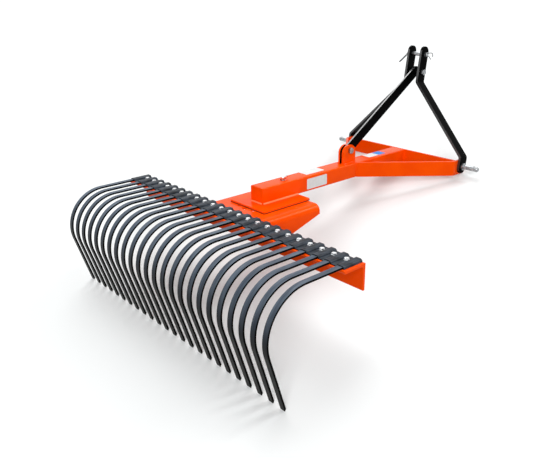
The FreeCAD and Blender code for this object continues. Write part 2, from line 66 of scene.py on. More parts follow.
# %% [markdown]
# ## The machine's own level frame
# Unhitched, a rake lies nose down on its tine tips and wings, so nothing on it is level
# and every position would be awkward to write. Its upright swivel pin gives the tilt. One
# matrix turns level millimetres (X right, Y forward, Z up, with Y = 0 by the row of clamp
# bolts and Z = 0 under the bracket's plate) into the place where the machine lies. Pieces
# are drawn level and carried over once, which keeps their numbers round.

# %% Build the level matrix from the swivel joint
MM = 0.001
SWIVEL_IN_LEVEL = Vector((0, 171, 6.8))
swivel = frame["joints"][0]
up = Vector(swivel["axis"]).normalized()
right = Vector((1, 0, 0))
forward = up.cross(right)
turned = Matrix((right, forward, up)).transposed().to_4x4()
LEVEL = (Matrix.Translation(Vector(swivel["pos_m"])) @ turned
         @ Matrix.Scale(MM, 4) @ Matrix.Translation(-SWIVEL_IN_LEVEL))
tilt = math.atan2(-forward.z, forward.y)
print("the machine lies %.1f degrees nose down" % math.degrees(tilt))

# %% [markdown]
# ## Helpers for finishes
# Every finish here is a coat or a plating on steel, so all of them are one Principled
# shader with three kinds of detail: two close shades mixed by slow noise, patches of
# duller gloss, and a fine bump. Image textures would need unwrapped faces; noise needs
# none. It reads Object coordinates turned level, so that rolled steel can have its
# streaks along the bar and not askew to it. The scale of a noise is roughly how many of
# its patches fit in a metre.

# %% Start a finish and find its pattern space
def new_finish(name, metallic, mirror):
    finish = bpy.data.materials.new(name)
    finish.use_nodes = True
    shader = finish.node_tree.nodes["Principled BSDF"]
    shader.inputs["Metallic"].default_value = metallic
    shader.inputs["Specular IOR Level"].default_value = mirror
    return finish, finish.node_tree, shader


def pattern_space(tree, stretch=(1, 1, 1)):
    place = tree.nodes.new("ShaderNodeTexCoord")
    turn = tree.nodes.new("ShaderNodeMapping")
    turn.inputs["Rotation"].default_value = (tilt, 0, 0)
    turn.inputs["Scale"].default_value = stretch
    tree.links.new(place.outputs["Object"], turn.inputs["Vector"])
    return turn.outputs["Vector"]


def noise(tree, space, scale, detail=3.0):
    node = tree.nodes.new("ShaderNodeTexNoise")
    node.inputs["Scale"].default_value = scale
    node.inputs["Detail"].default_value = detail
    tree.links.new(space, node.inputs["Vector"])
    return node.outputs["Fac"]


print("a finish starts from Metallic, Specular IOR Level and one pattern space")

# %% [markdown]
# Colour, gloss and bump each take a noise value. Raw noise hardly leaves its middle, so
# colour and gloss stretch that middle over their whole range. The bump is in metres, so
# that its depth is real.

# %% Mix two shades, vary the gloss, raise a grain
SHADE_RANGE = (0.35, 0.65)
GLOSS_RANGE = (0.3, 0.7)


def two_shades(tree, shader, value, dark, light):
    ramp = tree.nodes.new("ShaderNodeValToRGB")
    for stop, position, shade in zip(ramp.color_ramp.elements, SHADE_RANGE, (dark, light)):
        stop.position = position
        stop.color = (*shade, 1)
    tree.links.new(value, ramp.inputs["Fac"])
    tree.links.new(ramp.outputs["Color"], shader.inputs["Base Color"])


def vary_gloss(tree, shader, value, smoothest, roughest):
    spread = tree.nodes.new("ShaderNodeMapRange")
    spread.inputs["From Min"].default_value = GLOSS_RANGE[0]
    spread.inputs["From Max"].default_value = GLOSS_RANGE[1]
    spread.inputs["To Min"].default_value = smoothest
    spread.inputs["To Max"].default_value = roughest
    tree.links.new(value, spread.inputs["Value"])
    tree.links.new(spread.outputs["Result"], shader.inputs["Roughness"])


def raise_grain(tree, shader, value, depth, strength):
    bump = tree.nodes.new("ShaderNodeBump")
    bump.inputs["Strength"].default_value = strength
    bump.inputs["Distance"].default_value = depth
    tree.links.new(value, bump.inputs["Height"])
    tree.links.new(bump.outputs["Normal"], shader.inputs["Normal"])


print("bump depths are metres: a coat of paint ripples by less than 0.0001")

# %% [markdown]
# ## Orange powder coat
# The boom, wings, swivel and angle bar are shot-blasted, dusted with dry orange powder
# and baked. Powder levels out less than wet paint and keeps a soft orange-peel ripple of
# a millimetre or two, which breaks up its reflections. The ripple could be real
# displacement, but it is too shallow to change an outline, so a bump does. A full white
# mirror layer would wash so deep a colour out to pink under a white sky, so the layer is
# kept weak and its tint warm. The beads at the boom's foot get a paler orange: a painted
# highlight along their ridge.

# %% Make the orange powder coat
WARM = (1.0, 0.6, 0.3, 1)


def make_orange(name, dark, light):
    finish, tree, shader = new_finish(name, metallic=0.0, mirror=0.09)
    shader.inputs["Specular Tint"].default_value = WARM
    space = pattern_space(tree)
    two_shades(tree, shader, noise(tree, space, 14.0), dark, light)
    vary_gloss(tree, shader, noise(tree, space, 30.0), smoothest=0.16, roughest=0.26)
    raise_grain(tree, shader, noise(tree, space, 650.0, detail=2.0), depth=0.00008, strength=0.5)
    return finish


ORANGE = make_orange("orange_powder_coat", (0.95, 0.070, 0.0), (1.0, 0.084, 0.0))
# A paler orange for the beads at the boom's foot: painted highlight along their ridge.
PAINTED_HIGHLIGHT_ORANGE = make_orange("orange_painted_highlight_on_beads", (0.95, 0.22, 0.08), (1.0, 0.30, 0.13))
print("made", ORANGE.name, PAINTED_HIGHLIGHT_ORANGE.name)

# %% [markdown]
# ## Black paints, coated spring steel and painted shade
# The mast and brace carry a deep black paint. The rear faces of the mast bars and the top
# edge of the brace take a lighter, glossier black: a painted highlight, partly a glossier
# coat. The clamp strips are a duller, slightly blue black, their rear edges painted black
# as shade. The tines are spring steel under a thin slate coat: the rolled surface shows
# through as streaks along each tine, and their flanks are painted black as shade. A black
# bead round the swivel plate is painted shade for the gap under it. Six materials could be
# built node by node; one helper makes them all, since they differ only in shades, gloss and grain.

# %% Make the dark finishes
EVEN, ACROSS_STRIPS, ALONG_TINES = (1, 1, 1), (1, 0.4, 0.4), (1, 0.12, 0.12)
GLOSS_IS_FINER = 2.2


def make_dark(name, dark, light, smoothest, roughest, mirror, stretch, scale, depth):
    finish, tree, shader = new_finish(name, 0.0, mirror)
    space, unstretched = pattern_space(tree, stretch), pattern_space(tree)
    two_shades(tree, shader, noise(tree, space, scale, detail=4.0), dark, light)
    vary_gloss(tree, shader, noise(tree, space, GLOSS_IS_FINER * scale), smoothest, roughest)
    raise_grain(tree, shader, noise(tree, unstretched, 700.0, detail=2.0), depth, strength=0.5)
    return finish


BLACK = make_dark("gloss_black_paint", (0.001, 0.001, 0.001), (0.002, 0.002, 0.002),
                  smoothest=0.26, roughest=0.36, mirror=0.01,
                  stretch=EVEN, scale=16.0, depth=0.00006)
# A lighter, glossier black for the mast's rear faces and the brace's top edge: painted highlight,
# partly a glossier coat.
EDGE_HIGHLIGHT_BLACK = make_dark("black_edges_painted_highlight", (0.010, 0.010, 0.011), (0.022, 0.022, 0.023),
                 smoothest=0.18, roughest=0.26, mirror=1.0,
                 stretch=EVEN, scale=16.0, depth=0.00004)
CLAMP = make_dark("clamp_black_coat", (0.004, 0.006, 0.009), (0.034, 0.044, 0.060),
                  smoothest=0.32, roughest=0.50, mirror=0.14,
                  stretch=ACROSS_STRIPS, scale=75.0, depth=0.00030)
TINE = make_dark("spring_steel_coat_painted_shade", (0.056, 0.072, 0.098), (0.110, 0.139, 0.178),
                 smoothest=0.34, roughest=0.46, mirror=0.08,
                 stretch=ALONG_TINES, scale=90.0, depth=0.00010)
# A near black for tine flanks and clamp rear edges: painted shade.
SHADE_BLACK = make_dark("black_painted_shade", (0.001, 0.001, 0.001), (0.004, 0.004, 0.004),
                 smoothest=0.45, roughest=0.60, mirror=0.01,
                 stretch=ALONG_TINES, scale=90.0, depth=0.00010)
# A black for the bead under the swivel plate: painted shade in the gap.
GAP_SHADE_BLACK = make_dark("black_gap_shade", (0.003, 0.002, 0.002), (0.010, 0.007, 0.006),
                   smoothest=0.30, roughest=0.45, mirror=0.10,
                   stretch=EVEN, scale=60.0, depth=0.00020)
print("made", BLACK.name, EDGE_HIGHLIGHT_BLACK.name, CLAMP.name, TINE.name, SHADE_BLACK.name, GAP_SHADE_BLACK.name)

# %% [markdown]
# The tines' colour carries painted shade and sheen along their height: black on the legs
# well under the bracket, where they lie in shade, and slate just under it, where the bend
# takes a painted sheen. Two finishes would meet in a hard line, so one finish changes
# smoothly with the level height. That height is the Z of the pattern space, counted from
# where the level frame's zero lies in it.

# %% Paint shade on the tines below the bend
def paint_shade_below_bend(finish, black_under, slate_over, black):
    tree = finish.node_tree
    shader = tree.nodes["Principled BSDF"]
    slate = shader.inputs["Base Color"].links[0].from_socket
    level_zero = (turned.inverted() @ LEVEL.translation).z
    split = tree.nodes.new("ShaderNodeSeparateXYZ")
    tree.links.new(pattern_space(tree), split.inputs["Vector"])
    rise = tree.nodes.new("ShaderNodeMapRange")
    rise.interpolation_type = "SMOOTHSTEP"
    rise.inputs["From Min"].default_value = level_zero + MM * black_under
    rise.inputs["From Max"].default_value = level_zero + MM * slate_over
    tree.links.new(split.outputs["Z"], rise.inputs["Value"])
    blend = tree.nodes.new("ShaderNodeMix")
    blend.data_type = "RGBA"
    blend.inputs["A"].default_value = (*black, 1)
    tree.links.new(rise.outputs["Result"], blend.inputs["Factor"])
    tree.links.new(slate, blend.inputs["B"])
    tree.links.new(blend.outputs["Result"], shader.inputs["Base Color"])
    return level_zero


# Black on the tine legs is painted shade; slate near the bend is painted sheen.
level_zero = paint_shade_below_bend(TINE, black_under=-175, slate_over=-5, black=(0.003, 0.003, 0.003))
print("the level frame's zero lies at %.3f m in pattern space" % level_zero)

# %% [markdown]
# ## Zinc plate
# Bolts are plated with bright zinc, pins have gone grey, and the clips are dark spring
# wire. All are bare metal surfaces, so Metallic is 1 and the colour is the metal's own
# reflection. One even shade would look like chrome; fine mottling in colour and gloss
# keeps the plate dull.

# %% Make the zinc plate
def make_plating(name, dark, light):
    finish, tree, shader = new_finish(name, metallic=1.0, mirror=0.5)
    space = pattern_space(tree)
    two_shades(tree, shader, noise(tree, space, 120.0), dark, light)
    vary_gloss(tree, shader, noise(tree, space, 260.0), smoothest=0.20, roughest=0.38)
    raise_grain(tree, shader, noise(tree, space, 900.0, detail=2.0), depth=0.00005, strength=0.4)
    return finish


ZINC = make_plating("bright_zinc_plate", (0.72, 0.74, 0.75), (0.92, 0.93, 0.94))
STEEL = make_plating("zinc_plate_gone_grey", (0.22, 0.23, 0.24), (0.46, 0.47, 0.48))
WIRE = make_plating("spring_wire", (0.03, 0.03, 0.03), (0.08, 0.08, 0.09))
print("made", ZINC.name, STEEL.name, WIRE.name)

# %% [markdown]
# ## Label vinyl
# The labels are blank vinyl under a clear film: white ones and one plain blue patch.
# White would clip if it were written as 1, so it stays between 0.7 and 0.8, with a faint
# mottle and a film gloss.

# %% Make the label vinyl
def make_vinyl(name, dark, light):
    finish, tree, shader = new_finish(name, metallic=0.0, mirror=0.12)
    space = pattern_space(tree)
    two_shades(tree, shader, noise(tree, space, 60.0), dark, light)
    vary_gloss(tree, shader, noise(tree, space, 90.0), smoothest=0.30, roughest=0.40)
    raise_grain(tree, shader, noise(tree, space, 400.0, detail=2.0), depth=0.00003, strength=0.4)
    return finish


VINYL = make_vinyl("white_label_vinyl", (0.70, 0.71, 0.71), (0.76, 0.76, 0.76))
BLUE = make_vinyl("blue_label_vinyl", (0.005, 0.19, 0.62), (0.01, 0.24, 0.72))
print("made", VINYL.name, BLUE.name)

# %% [markdown]
# ## A finish for each solid
# Each solid takes the finish of its material slot, and how wide its edges are broken
# goes with it. Some solids take a second finish on the faces that look a certain way. The
# flanks of a tine and the rear edge of a clamp strip are painted black as shade; the rear
# faces of the mast bars and the top edge of the brace take a lighter black as painted
# highlight; the spacers on the brace's upper bolt are painted black; the inner faces of the
# lugs are painted black as the shade in the gap round the brace. The faces could be picked
# by hand, but a test on where a face looks finds them again whenever the model changes.

# %% Choose a finish and an edge for each kind of solid
FLANK, REAR_EDGE, CUT_EDGE, TOP_EDGE = 0.7, -0.7, -0.9, 0.6
SPACERS_END, INTO_THE_LUG_GAP = 0.0285, -0.004


def dress_of(node):
    if node.startswith("tine_"):
        return TINE, "tine_steel", 0.9
    if node.startswith("clamp_strip_"):
        return CLAMP, "clamp_black", 0.5
    if node.startswith("mast_bar_") or node == "rear_brace":
        return BLACK, "black_paint", 1.0
    if node.startswith("lower_pin_") or node in ("top_link_pin", "lock_pin", "kingpin",
                                                 "brace_lower_bolt", "brace_upper_bolt"):
        return STEEL, "zinc_plate", 0.5
    return ORANGE, "orange_paint", 1.0


def second_finish(node, finish):
    # Tine flanks: painted shade in black.
    if finish == TINE:
        return SHADE_BLACK, lambda face: abs(face.normal.x) > FLANK
    # Rear edges of the clamp strips: painted shade in black.
    if finish == CLAMP:
        return SHADE_BLACK, lambda face: face.normal.dot(forward) < REAR_EDGE
    # Rear faces of the mast bars: painted highlight, partly a glossier coat.
    if node.startswith("mast_bar_"):
        return EDGE_HIGHLIGHT_BLACK, lambda face: face.normal.dot(forward) < CUT_EDGE
    # Top edge of the brace: painted highlight, partly a glossier coat.
    if node == "rear_brace":
        return EDGE_HIGHLIGHT_BLACK, lambda face: face.normal.dot(up) > TOP_EDGE
    if node == "brace_upper_bolt":
        return BLACK, lambda face: abs(face.calc_center_median().x) < SPACERS_END
    # Inner faces of the lugs: black as painted shade in the gap round the brace.
    if node.startswith("lug_"):
        return BLACK, lambda face: face.normal.x * face.calc_center_median().x < INTO_THE_LUG_GAP
    return None, lambda face: False


print("a tine is", dress_of("tine_01")[0].name, "with", second_finish("tine_01", TINE)[0].name)

# %% [markdown]
# ## Dress the solids
# The real plates were cut, deburred and painted, so no edge on them is knife sharp: a
# broken edge up to a millimetre wide catches the light as a thin line. The solids
# themselves stay as they are. A copy of each is merged, its flat faces are joined up
# again, and a Bevel modifier breaks its edges; the copy then stands for the solid.

# %% Merge a copy of each solid and break its edges
MERGE_WITHIN = 0.00001
FLAT_WITHIN, EDGE_FROM = math.radians(0.5), math.radians(30)


def finish_piece(name, shape, finish, body, sharp=30.0):
    mesh = bpy.data.meshes.new(name)
    shape.to_mesh(mesh)
    shape.free()
    mesh.materials.append(finish)
    mesh.shade_smooth()
    mesh.set_sharp_from_angle(angle=math.radians(sharp))
    piece = bpy.data.objects.new(name, mesh)
    bpy.context.scene.collection.objects.link(piece)
    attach(piece, body)
    return piece


def break_edges(piece, width):
    round_over = piece.modifiers.new("broken_edges", "BEVEL")
    round_over.width = width * MM
    round_over.segments = 2
    round_over.limit_method = "ANGLE"
    round_over.angle_limit = EDGE_FROM
    round_over.harden_normals = True


def dress(node):
    finish, slot, width = dress_of(node)
    shape = bmesh.new()
    shape.from_mesh(frame["nodes"][node].data)
    bmesh.ops.remove_doubles(shape, verts=shape.verts, dist=MERGE_WITHIN)
    bmesh.ops.dissolve_limit(shape, angle_limit=FLAT_WITHIN,
                             verts=shape.verts, edges=shape.edges)
    shape.normal_update()
    shape.faces.index_update()
    other, takes_it = second_finish(node, finish)
    others = [face.index for face in shape.faces if takes_it(face)]
    piece = finish_piece("dressed_" + node, shape, finish, frame["nodes"][node]["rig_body"])
    if others:
        piece.data.materials.append(other)
    for face in others:
        piece.data.polygons[face].material_index = 1
    break_edges(piece, width)
    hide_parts(node)


for node in sorted(frame["nodes"]):
    dress(node)
print("dressed", len(frame["nodes"]), "solids")

# %% [markdown]
# ## Helpers for new hardware
# A new piece starts as a bmesh in level millimetres. A hexagon head could be a six-sided
# circle pulled up, but its corners would be sharp. Here it is made the way it is on a
# lathe and mill: a round blank with a chamfered rim, then six flats. Six cuts with a plane
# leave the curved chamfer line that a real head has.

# %% Turn a blank and cut six flats
RIM_RUN = 1.6


def lift(shape, faces, height, shrink=1.0):
    grown = bmesh.ops.extrude_face_region(shape, geom=faces)
    corners = [item for item in grown["geom"] if isinstance(item, bmesh.types.BMVert)]
    bmesh.ops.translate(shape, verts=corners, vec=(0, 0, height))
    bmesh.ops.scale(shape, verts=corners, vec=(shrink, shrink, 1))


def blank(radius, height, rim, base, sides=24):
    shape = bmesh.new()
    bmesh.ops.create_circle(shape, segments=sides, radius=radius, cap_ends=True)
    lift(shape, shape.faces[:], height - rim)
    top = max(shape.faces, key=lambda face: face.calc_center_median().z)
    bmesh.ops.recalc_face_normals(shape, faces=shape.faces)
    lift(shape, [top], rim, shrink=(radius - RIM_RUN * rim) / radius)
    bmesh.ops.translate(shape, verts=shape.verts, vec=(0, 0, base))
    return shape


def six_flats(shape, across):
    for turn in range(6):
        out = Vector((math.cos(turn * math.pi / 3 + math.pi / 2),
                      math.sin(turn * math.pi / 3 + math.pi / 2), 0))
        cut = bmesh.ops.bisect_plane(shape, geom=shape.verts[:] + shape.edges[:] + shape.faces[:],
                                     plane_co=out * across / 2, plane_no=out, clear_outer=True)
        rim = [item for item in cut["geom_cut"] if isinstance(item, bmesh.types.BMEdge)]
        bmesh.ops.holes_fill(shape, edges=rim, sides=0)


trial = blank(radius=9.2, height=6.4, rim=0.8, base=0)
six_flats(trial, across=16.0)
print("a hexagon head has", len(trial.faces), "faces")
trial.free()

# %% [markdown]
# Many of one kind are drawn once and copied. `stamp` adds a finished shape to a growing
# one at each place, so that a row of bolts is one piece that rides with its body. Linked
# objects would do the same, but a row of 23 names is harder to keep in order than one.

# %% Copy a shape into another, place and hand it over
AS_DRAWN = [Matrix.Identity(4)]


def stamp(target, shape, places):
    one = bpy.data.meshes.new("one")
    shape.to_mesh(one)
    shape.free()
    for place in places:
        before = set(target.verts)
        target.from_mesh(one)
        fresh = [corner for corner in target.verts if corner not in before]
        bmesh.ops.transform(target, matrix=place, verts=fresh)
    bpy.data.meshes.remove(one)


def hand_over(name, shape, finish, body, sharp=30.0):
    bmesh.ops.recalc_face_normals(shape, faces=shape.faces)
    bmesh.ops.transform(shape, matrix=LEVEL, verts=shape.verts)
    piece = finish_piece(name, shape, finish, body, sharp)
    print("handed over", piece.name, "with", len(piece.data.polygons), "faces")


def at(x, y, z):
    return Matrix.Translation(Vector((x, y, z)))


# %% [markdown]
# ## Clamp bolts
# One bolt in each of the 23 gaps between tines squeezes the clamp strips down on the
# angle bar. A washer, a hexagon head above, a nut and a few threads below; each head is
# turned a little differently, as a spanner leaves it. A spanner that always starts from
# the same seed leaves them the same way each time the lesson is run.

# %% Bolt the clamp strips down
PITCH, GAPS, STRIP_TOP, ANGLE_UNDER = 55.0, 23, 9.2, -4.3
BOLT_ASIDE, BOLT_Y, WASHER_THICK = 0.8, -3, 1.6
bolt_row = [(gap - (GAPS + 1) / 2) * PITCH + BOLT_ASIDE for gap in range(1, GAPS + 1)]
spanner = random.Random(7)

heads = bmesh.new()
head = blank(radius=8.9, height=4.6, rim=0.7, base=STRIP_TOP + WASHER_THICK)
six_flats(head, across=15.4)
stamp(heads, head, [at(x, BOLT_Y, 0) @ Matrix.Rotation(spanner.uniform(0, 1), 4, "Z")
                    for x in bolt_row])
washer = blank(radius=9.8, height=WASHER_THICK, rim=0.3, base=STRIP_TOP, sides=32)
stamp(heads, washer, [at(x, BOLT_Y, 0) for x in bolt_row])
hand_over("clamp_bolts", heads, ZINC, "rake_head")

nuts = bmesh.new()
nut = blank(radius=9.0, height=8.4, rim=1.0, base=0)
six_flats(nut, across=16.0)
threads = blank(radius=5.0, height=13.0, rim=0.9, base=0, sides=16)
upside_down = Matrix.Rotation(math.pi, 4, "X")
under_the_bar = [at(x, BOLT_Y, ANGLE_UNDER) @ upside_down for x in bolt_row]
stamp(nuts, nut, under_the_bar)
stamp(nuts, threads, under_the_bar)
hand_over("clamp_nuts", nuts, ZINC, "rake_head")
print("bolted", len(bolt_row), "gaps")

# %% [markdown]
# ## Rods, wires and weld beads
# All three are a ring carried along a path. A bevelled curve could do it, with a radius
# at each of its points; here the ring is extruded from point to point and turned to face
# the way, so that the piece is a closed mesh from the start. On a weld bead the ring also
# swells and shrinks every few millimetres, where the welder's torch paused. The ends are
# closed at last.

# %% Carry a ring along a path
RING_STEP = 2.0


def follow(path, radius, sides, ripple=0.0):
    shape = bmesh.new()
    ways = [(after - before).normalized() for before, after in zip(path, path[1:])]
    ways = [ways[0]] + [(one + two).normalized() for one, two in zip(ways, ways[1:])] + [ways[-1]]
    turn = Vector((0, 0, 1)).rotation_difference(ways[0]).to_matrix().to_4x4()
    ring = bmesh.ops.create_circle(shape, segments=sides, radius=radius)["verts"]
    here = Matrix.Translation(path[0]) @ turn
    bmesh.ops.transform(shape, matrix=here, verts=ring)
    edges = shape.edges[:]
    first = edges[:]
    for step, (point, way) in enumerate(zip(path[1:], ways[1:]), start=1):
        turn = ways[step - 1].rotation_difference(way).to_matrix().to_4x4() @ turn
        swell = 1 + ripple * (1 if step % 2 else -1)
        there = Matrix.Translation(point) @ turn @ Matrix.Scale(swell, 4)
        grown = bmesh.ops.extrude_edge_only(shape, edges=edges)["geom"]
        corners = [item for item in grown if isinstance(item, bmesh.types.BMVert)]
        edges = [item for item in grown if isinstance(item, bmesh.types.BMEdge)
                 and all(corner in corners for corner in item.verts)]
        bmesh.ops.transform(shape, matrix=there @ here.inverted(), verts=corners)
        here = there
    bmesh.ops.edgeloop_fill(shape, edges=first)
    bmesh.ops.edgeloop_fill(shape, edges=edges)
    bmesh.ops.recalc_face_normals(shape, faces=shape.faces)
    return shape


def straight(start, end):
    start, end = Vector(start), Vector(end)
    count = max(2, round((end - start).length / RING_STEP))
    return [start.lerp(end, share / count) for share in range(count + 1)]


print("a 20 mm bead has", len(straight((0, 0, 0), (20, 0, 0))), "rings")

# %% [markdown]
# ## Where the welds run
# The boom stands on the swivel plate, the lugs stand on the boom, the wings meet the boom
# and the cross plate, and the bracket stands against the angle bar, each along a fillet
# weld. The lines are taken from the boxes of the plates in the level frame, with a
# millimetre or a few left free at most ends, so that a bead stays in its corner.

# %% Measure the plates and draw the lines
def level_box(node):
    corners = [LEVEL.inverted() @ corner.co for corner in frame["nodes"][node].data.vertices]
    return (Vector([min(corner[axis] for corner in corners) for axis in range(3)]),
            Vector([max(corner[axis] for corner in corners) for axis in range(3)]))


FINE, LIGHT, FULL, HEAVY = 3.0, 3.5, 4.0, 4.5
WING_FOOT, LUG_IN, LUG_OUT = 16, 6, 15
BRACKET_REAR, BRACKET_SIDE = 27, 171
HALF, FRONT, HIGH = level_box("boom")[1]
REAR, LOW = level_box("boom_end_cap")[0].y, level_box("boom")[0].z
PLATE_FRONT = level_box("swivel_plate")[1].y
WING_ROOT = level_box("wing_right")[0].y
TAB_IN = level_box("cross_plate")[1].x
lug_low, lug_high = level_box("lug_right")
boom_foot = [((6 - HALF, REAR - 0.5, LOW + 1), (HALF - 6, REAR - 0.5, LOW + 1), FULL)]
seams = []
bracket = [((-158, BRACKET_REAR, 6), (158, BRACKET_REAR, 6), FINE)]
for side in (-1, 1):
    edge, tab = side * HALF, side * TAB_IN
    lug_in, lug_out, lug_side = side * LUG_IN, side * LUG_OUT, side * (LUG_OUT + 0.5)
    boom_foot += [((edge, REAR + 3, LOW + 1), (edge, PLATE_FRONT - 2, LOW + 1), HEAVY)]
    seams += [
        ((edge, WING_ROOT - 1, LOW + 2), (edge, WING_ROOT - 1, HIGH - 3), LIGHT),
        ((edge, WING_ROOT + WING_FOOT, LOW + 2), (edge, WING_ROOT + WING_FOOT, HIGH - 3), FINE),
        ((edge, FRONT, LOW + 3), (edge, FRONT, HIGH - 3), FULL),
        ((tab, FRONT, LOW + 2), (tab, FRONT, HIGH - 2), LIGHT),
        ((lug_side, lug_low.y + 2, HIGH), (lug_side, lug_high.y - 2, HIGH), FULL),
        ((lug_in, lug_low.y - 0.5, HIGH), (lug_out, lug_low.y - 0.5, HIGH), LIGHT),
        ((lug_in, lug_high.y + 0.5, HIGH), (lug_out, lug_high.y + 0.5, HIGH), LIGHT),
    ]
    bracket += [((side * BRACKET_SIDE, BRACKET_REAR, -10),
                 (side * BRACKET_SIDE, BRACKET_REAR, -88), FINE)]
print("drew", len(boom_foot + seams + bracket), "lines on a boom %.0f mm wide" % (2 * HALF))

# %% [markdown]
# ## Weld beads
# A bead is a ridge with one ripple every 4 mm, half sunk in the corner it fills, and
# painted over with the same powder. A bump in the paint could only draw it, and from the
# side the corner would stay sharp; a mesh fills it.

# %% Run the beads
BEAD_SIDES, RIPPLE = 10, 0.07


def run_beads(name, lines, finish, body):
    beads = bmesh.new()
    for start, end, radius in lines:
        stamp(beads, follow(straight(start, end), radius, BEAD_SIDES, RIPPLE), AS_DRAWN)
    hand_over(name, beads, finish, body, sharp=60.0)


# The foot beads take the paler orange, a painted highlight.
run_beads("boom_foot_weld_beads", boom_foot, PAINTED_HIGHLIGHT_ORANGE, "frame")
run_beads("frame_weld_beads", seams, ORANGE, "frame")
run_beads("bracket_weld_beads", bracket, ORANGE, "rake_head")

# %% [markdown]
# ## Shade line under the swivel plate
# The bracket turns under the swivel plate, and the narrow gap along the plate's lower edge
# lies in shade. That shade is painted: a dark stripe would have no body, so a thin black bead
# stands in the gap and runs once round the plate's rounded outline, a hair above the
# bracket, so that it stays with the plate and never drags on the head.

# %% Run the painted shade line round the plate
CORNER, GAP_SHADE_RADIUS = 5.5, 1.2
plate_low, plate_high = level_box("swivel_plate")
gap_shade_z = plate_low.z + GAP_SHADE_RADIUS
gap_shade_path = [Vector((0, plate_high.y, gap_shade_z))]
for x, y, start in ((plate_high.x - CORNER, plate_high.y - CORNER, 90),
                    (plate_high.x - CORNER, plate_low.y + CORNER, 0),
                    (plate_low.x + CORNER, plate_low.y + CORNER, -90),
                    (plate_low.x + CORNER, plate_high.y - CORNER, -180)):
    for turn in (0, 30, 60, 90):
        angle = math.radians(start - turn)
        gap_shade_path.append(Vector((x + CORNER * math.cos(angle), y + CORNER * math.sin(angle),
                                   gap_shade_z)))
gap_shade_path.append(Vector((-1, plate_high.y, gap_shade_z)))
# This black bead is painted shade in the gap under the swivel plate.
gap_shade = follow(gap_shade_path, GAP_SHADE_RADIUS, sides=8)
hand_over("swivel_gap_shade_line", gap_shade, GAP_SHADE_BLACK, "frame", sharp=60.0)

# %% [markdown]
# ## Lock pin handle
# The head is held straight, or turned in steps, by a pin that drops through the boom. A
# welded guide bush holds it and a rod across its top is the handle to lift it by. The
# bush is a turned blank. The rod is a little bowed, so it follows a path; a plain
# cylinder would be too straight.

# %% Add the bush and the handle
LOCK_Y, HANDLE_RADIUS = 273.0, 5.5
bush = blank(radius=12.5, height=6.0, rim=1.2, base=HIGH, sides=32)
bmesh.ops.translate(bush, verts=bush.verts, vec=(0, LOCK_Y, 0))
hand_over("lock_pin_bush", bush, ORANGE, "frame")
handle_path = [Vector(point) for point in ((11, 257, 91.5), (9, 263, 92.5), (5, 274, 93),
                                           (1, 286, 93), (-3, 297, 92.5), (-4.5, 302, 91))]
handle = follow(handle_path, HANDLE_RADIUS, sides=16)
hand_over("lock_pin_handle", handle, ZINC, "frame", sharp=50.0)
print("the handle is %.0f mm long" % (handle_path[-1] - handle_path[0]).length)

# %% [markdown]
# ## Wire clips
# A clip of spring wire keeps each end of the top link pin in place. One leg goes through
# a cross hole in the pin and the other springs round behind it. Each clip is one wire, so
# it is a ring carried along a short list of bends, chosen for the way it hangs in its hole.

# %% Bend and fit the clips
WIRE_RADIUS, WIRE_SIDES = 1.7, 10
LEFT_CLIP = [(-44, 1122, 516), (-49, 1121.5, 511), (-63, 1121, 499), (-96, 1121, 469.5),
             (-99.5, 1119, 466.5), (-99.5, 1115, 466.5), (-96, 1112.5, 469.5),
             (-66, 1110.5, 496), (-55, 1109, 506), (-50, 1109, 512)]
RIGHT_CLIP = [(83, 1121, 502), (82.5, 1121, 513), (79, 1121, 518.5), (70, 1121, 519),
              (56, 1121, 516), (50, 1117, 514), (48, 1109, 514), (48, 1106, 508),
              (49, 1108, 502), (54, 1114, 501), (62, 1120, 504), (68, 1121, 497), (74, 1121, 490)]
clips = bmesh.new()
for bends in (LEFT_CLIP, RIGHT_CLIP):
    stamp(clips, follow([Vector(bend) for bend in bends], WIRE_RADIUS, WIRE_SIDES), AS_DRAWN)
hand_over("top_link_clips", clips, WIRE, "frame", sharp=60.0)

# %% [markdown]
# ## Labels
# Three blank labels: two on top of the boom and one on its right side, and a plain blue
# patch in line with the front one. They could be patches of colour in the paint, but a
# label has an edge of its own that catches the light. So each is a rounded sheet 0.4 mm
# thick, drawn flat around its own centre, with its corners bevelled and then extruded,
# and laid on the paint.

# %% Cut and stick the labels
LABEL_THICK, WIDE_CORNER, SMALL_CORNER = 0.4, 4.0, 2.0


def label(wide, long, corner):
    shape = bmesh.new()
    bmesh.ops.create_grid(shape, x_segments=1, y_segments=1, size=0.5)
    bmesh.ops.scale(shape, verts=shape.verts, vec=(wide, long, 1))
    bmesh.ops.bevel(shape, geom=shape.verts[:], offset=corner, segments=5, profile=0.5,
                    affect="VERTICES", material=-1)
    lift(shape, shape.faces[:], LABEL_THICK)
    return shape


rear_on_top, front_on_top, patch_on_top = at(-7.5, 443.5, HIGH), at(-7, 822, HIGH), at(-7, 880, HIGH)
on_side = at(HALF, 433, 46.5) @ Matrix.Rotation(math.pi / 2, 4, "Y")
labels = bmesh.new()
stamp(labels, label(wide=49, long=105, corner=WIDE_CORNER), [rear_on_top])
stamp(labels, label(wide=45, long=117, corner=WIDE_CORNER), [on_side])
stamp(labels, label(wide=44, long=64, corner=SMALL_CORNER), [front_on_top])
hand_over("boom_labels", labels, VINYL, "frame")
patch = bmesh.new()
stamp(patch, label(wide=44, long=48, corner=SMALL_CORNER), [patch_on_top])
hand_over("boom_blue_patch", patch, BLUE, "frame")

# %% [markdown]
# ## Floor
# A plain pale floor. It is pale where the camera or a shiny part sees it, with a weak
# glow, so that it reads white while the soft shadows stay. The light that it throws back
# up is that of a mid grey, because a floor this wide that was white all through would
# light the underside of everything.

